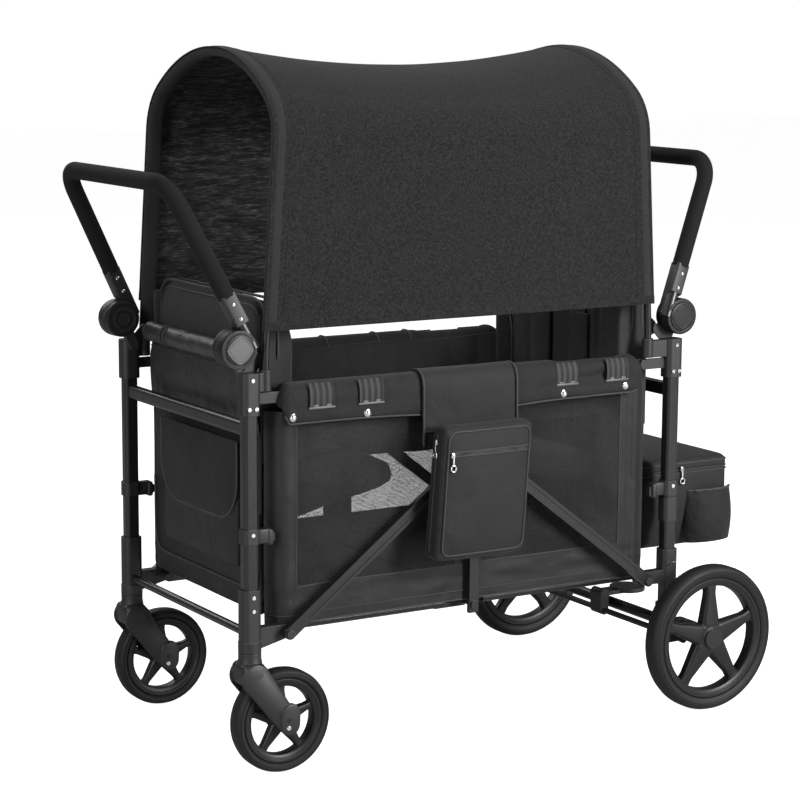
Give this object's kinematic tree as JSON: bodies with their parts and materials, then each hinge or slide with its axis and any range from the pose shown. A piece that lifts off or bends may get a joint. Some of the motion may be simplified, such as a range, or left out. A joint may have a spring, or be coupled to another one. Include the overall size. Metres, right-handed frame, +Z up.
{
  "type": "stroller wagon",
  "caption": "Folding stroller wagon with swivel front wheels, spoked rear wheels, tilting push bars, arched canopy, mesh sides, padded seats and hanging bags.",
  "frame": {"origin": "on the floor, under the middle of the wagon's box", "axes": "+X towards the rear wheels, +Y towards the far side, +Z up"},
  "size_m": [1.2781, 0.69, 1.2961],
  "materials": {
    "frame_metal": "satin black powder coat",
    "moulded_plastic": "matt black",
    "rivet_steel": "bright",
    "woven_fabric": "woven polyester, black",
    "padded_fabric": "padded woven polyester, black",
    "grip_foam": "matt foam",
    "tyre_rubber": "matt rubber"
  },
  "bodies": {
    "rear_frame": {"rear_legs": "frame_metal", "rear_top_brackets": "moulded_plastic", "rear_cross_tube": "frame_metal", "rear_lower_brackets": "moulded_plastic", "rear_clips": "moulded_plastic", "rear_axle": "frame_metal", "rear_knuckles": "moulded_plastic", "rear_rivets": "rivet_steel", "rear_end_panel": "woven_fabric", "side_panel_near": "woven_fabric", "side_panel_far": "woven_fabric", "bumper_near": "woven_fabric", "bumper_far": "woven_fabric", "pocket_bag": "woven_fabric", "rear_bag": "woven_fabric", "rear_seat_back": "padded_fabric", "rear_seat_cushion": "padded_fabric"},
    "rear_floor": {"rear_floor_rails": "frame_metal", "rear_floor_board": "moulded_plastic"},
    "front_floor": {"front_floor_rails": "frame_metal", "front_floor_board": "moulded_plastic"},
    "front_frame": {"front_legs": "frame_metal", "front_top_brackets": "moulded_plastic", "front_cross_tube": "frame_metal", "front_low_bar": "frame_metal", "front_sockets": "moulded_plastic", "front_clips": "moulded_plastic", "front_rivets": "rivet_steel", "front_end_panel": "woven_fabric", "front_seat_back": "padded_fabric", "front_seat_cushion": "padded_fabric"},
    "front_caster_near": {"fork_near": "moulded_plastic"},
    "front_caster_far": {"fork_far": "moulded_plastic"},
    "front_wheel_near": {"front_rim_near": "moulded_plastic", "front_tyre_near": "tyre_rubber"},
    "front_wheel_far": {"front_rim_far": "moulded_plastic", "front_tyre_far": "tyre_rubber"},
    "rear_wheel_near": {"rear_rim_near": "moulded_plastic", "rear_tyre_near": "tyre_rubber"},
    "rear_wheel_far": {"rear_rim_far": "moulded_plastic", "rear_tyre_far": "tyre_rubber"},
    "front_handle": {"front_push_bar": "frame_metal", "front_grip": "grip_foam"},
    "rear_handle": {"rear_push_bar": "frame_metal", "rear_grip": "grip_foam"},
    "front_button_near": {"front_button_near": "moulded_plastic"},
    "front_button_far": {"front_button_far": "moulded_plastic"},
    "rear_button_near": {"rear_button_near": "moulded_plastic"},
    "rear_button_far": {"rear_button_far": "moulded_plastic"},
    "brake": {"brake_pedal": "moulded_plastic"},
    "centre_posts": {"centre_posts": "frame_metal"},
    "brace_hubs": {"brace_hubs": "moulded_plastic"},
    "rear_braces": {"rear_braces": "frame_metal"},
    "front_braces": {"front_braces": "frame_metal"},
    "rear_top_rails": {"rear_top_rails": "frame_metal"},
    "front_top_rails": {"front_top_rails": "frame_metal"},
    "canopy_rear": {"rear_hoop": "frame_metal", "canopy_sheet": "woven_fabric"},
    "canopy_front": {"front_hoop": "frame_metal"}
  },
  "joints": [
    {"name": "fold", "type": "hinge", "parent": "rear_frame", "child": "rear_floor", "pos_m": [0.38002, 0, 0.261], "axis": [0, 1, 0], "range_deg": [0, 75], "deforming": ["side_panel_near", "side_panel_far", "bumper_near", "bumper_far", "pocket_bag", "canopy_sheet", "rear_seat_back", "front_seat_back", "rear_seat_cushion", "front_seat_cushion"]},
    {"name": "floor_knuckle", "type": "hinge", "parent": "rear_floor", "child": "front_floor", "pos_m": [-0.01898, 0, 0.261], "axis": [0, 1, 0], "range_deg": [-150, 0]},
    {"name": "front_frame_hinge", "type": "hinge", "parent": "front_floor", "child": "front_frame", "pos_m": [-0.41798, 0, 0.261], "axis": [0, 1, 0], "range_deg": [0, 75]},
    {"name": "post_hinge", "type": "hinge", "parent": "rear_floor", "child": "centre_posts", "pos_m": [-0.01898, 0, 0.261], "axis": [0, 1, 0], "range_deg": [-75, 0]},
    {"name": "hub_slide", "type": "slide", "parent": "centre_posts", "child": "brace_hubs", "axis": [0, 0, 1], "range_m": [-0.199, 0]},
    {"name": "rear_brace_hinge", "type": "hinge", "parent": "rear_frame", "child": "rear_braces", "pos_m": [0.38002, 0, 0.261], "axis": [0, 1, 0], "range_deg": [0, 40.92]},
    {"name": "front_brace_hinge", "type": "hinge", "parent": "front_frame", "child": "front_braces", "pos_m": [-0.41798, 0, 0.261], "axis": [0, 1, 0], "range_deg": [-40.92, 0]},
    {"name": "rear_top_rail_hinge", "type": "hinge", "parent": "rear_frame", "child": "rear_top_rails", "pos_m": [0.38002, 0, 0.686], "axis": [0, 1, 0], "range_deg": [-75, 0]},
    {"name": "front_top_rail_hinge", "type": "hinge", "parent": "front_frame", "child": "front_top_rails", "pos_m": [-0.41798, 0, 0.686], "axis": [0, 1, 0], "range_deg": [0, 75]},
    {"name": "canopy_lift", "type": "slide", "parent": "rear_frame", "child": "canopy_rear", "axis": [0, 0, 1], "range_m": [0, 0.06]},
    {"name": "canopy_front_lift", "type": "slide", "parent": "front_frame", "child": "canopy_front", "axis": [0, 0, 1], "range_m": [0, 0.06]},
    {"name": "front_handle_tilt", "type": "hinge", "parent": "front_frame", "child": "front_handle", "pos_m": [-0.50748, 0, 0.776], "axis": [0, -1, 0], "range_deg": [-25, 100]},
    {"name": "rear_handle_tilt", "type": "hinge", "parent": "rear_frame", "child": "rear_handle", "pos_m": [0.46002, 0, 0.776], "axis": [0, 1, 0], "range_deg": [-25, 100]},
    {"name": "brake", "type": "hinge", "parent": "rear_frame", "child": "brake", "pos_m": [0.46602, 0, 0.134], "axis": [0, 1, 0], "range_deg": [0, 10]},
    {"name": "front_swivel_near", "type": "hinge", "parent": "front_frame", "child": "front_caster_near", "pos_m": [-0.48398, -0.248, 0.23], "axis": [0, 0, 1], "continuous": true},
    {"name": "front_spin_near", "type": "hinge", "parent": "front_caster_near", "child": "front_wheel_near", "pos_m": [-0.42298, -0.248, 0.096], "axis": [0, 1, 0], "continuous": true},
    {"name": "rear_spin_near", "type": "hinge", "parent": "rear_frame", "child": "rear_wheel_near", "pos_m": [0.49402, -0.325, 0.145], "axis": [0, 1, 0], "continuous": true},
    {"name": "front_button_near", "type": "slide", "parent": "front_handle", "child": "front_button_near", "axis": [0, 1, 0], "range_m": [0, 0.004], "stiffness_N_per_m": 800, "springref_m": -0.003},
    {"name": "rear_button_near", "type": "slide", "parent": "rear_handle", "child": "rear_button_near", "axis": [0, 1, 0], "range_m": [0, 0.004], "stiffness_N_per_m": 800, "springref_m": -0.003},
    {"name": "front_swivel_far", "type": "hinge", "parent": "front_frame", "child": "front_caster_far", "pos_m": [-0.48398, 0.248, 0.23], "axis": [0, 0, 1], "continuous": true},
    {"name": "front_spin_far", "type": "hinge", "parent": "front_caster_far", "child": "front_wheel_far", "pos_m": [-0.42298, 0.248, 0.096], "axis": [0, 1, 0], "continuous": true},
    {"name": "rear_spin_far", "type": "hinge", "parent": "rear_frame", "child": "rear_wheel_far", "pos_m": [0.49402, 0.325, 0.145], "axis": [0, 1, 0], "continuous": true},
    {"name": "front_button_far", "type": "slide", "parent": "front_handle", "child": "front_button_far", "axis": [0, -1, 0], "range_m": [0, 0.004], "stiffness_N_per_m": 800, "springref_m": -0.003},
    {"name": "rear_button_far", "type": "slide", "parent": "rear_handle", "child": "rear_button_far", "axis": [0, -1, 0], "range_m": [0, 0.004], "stiffness_N_per_m": 800, "springref_m": -0.003}
  ],
  "couplings": [
    {"joint": "floor_knuckle", "follows": "fold", "ratio": -2},
    {"joint": "front_frame_hinge", "follows": "fold", "ratio": 1},
    {"joint": "post_hinge", "follows": "fold", "ratio": -1},
    {"joint": "hub_slide", "follows": "fold", "m_per_rad": -0.15167},
    {"joint": "rear_brace_hinge", "follows": "fold", "ratio": 0.54421},
    {"joint": "front_brace_hinge", "follows": "fold", "ratio": -0.54421},
    {"joint": "rear_top_rail_hinge", "follows": "fold", "ratio": -1},
    {"joint": "front_top_rail_hinge", "follows": "fold", "ratio": 1},
    {"joint": "canopy_front_lift", "follows": "canopy_lift", "ratio": 1}
  ]
}
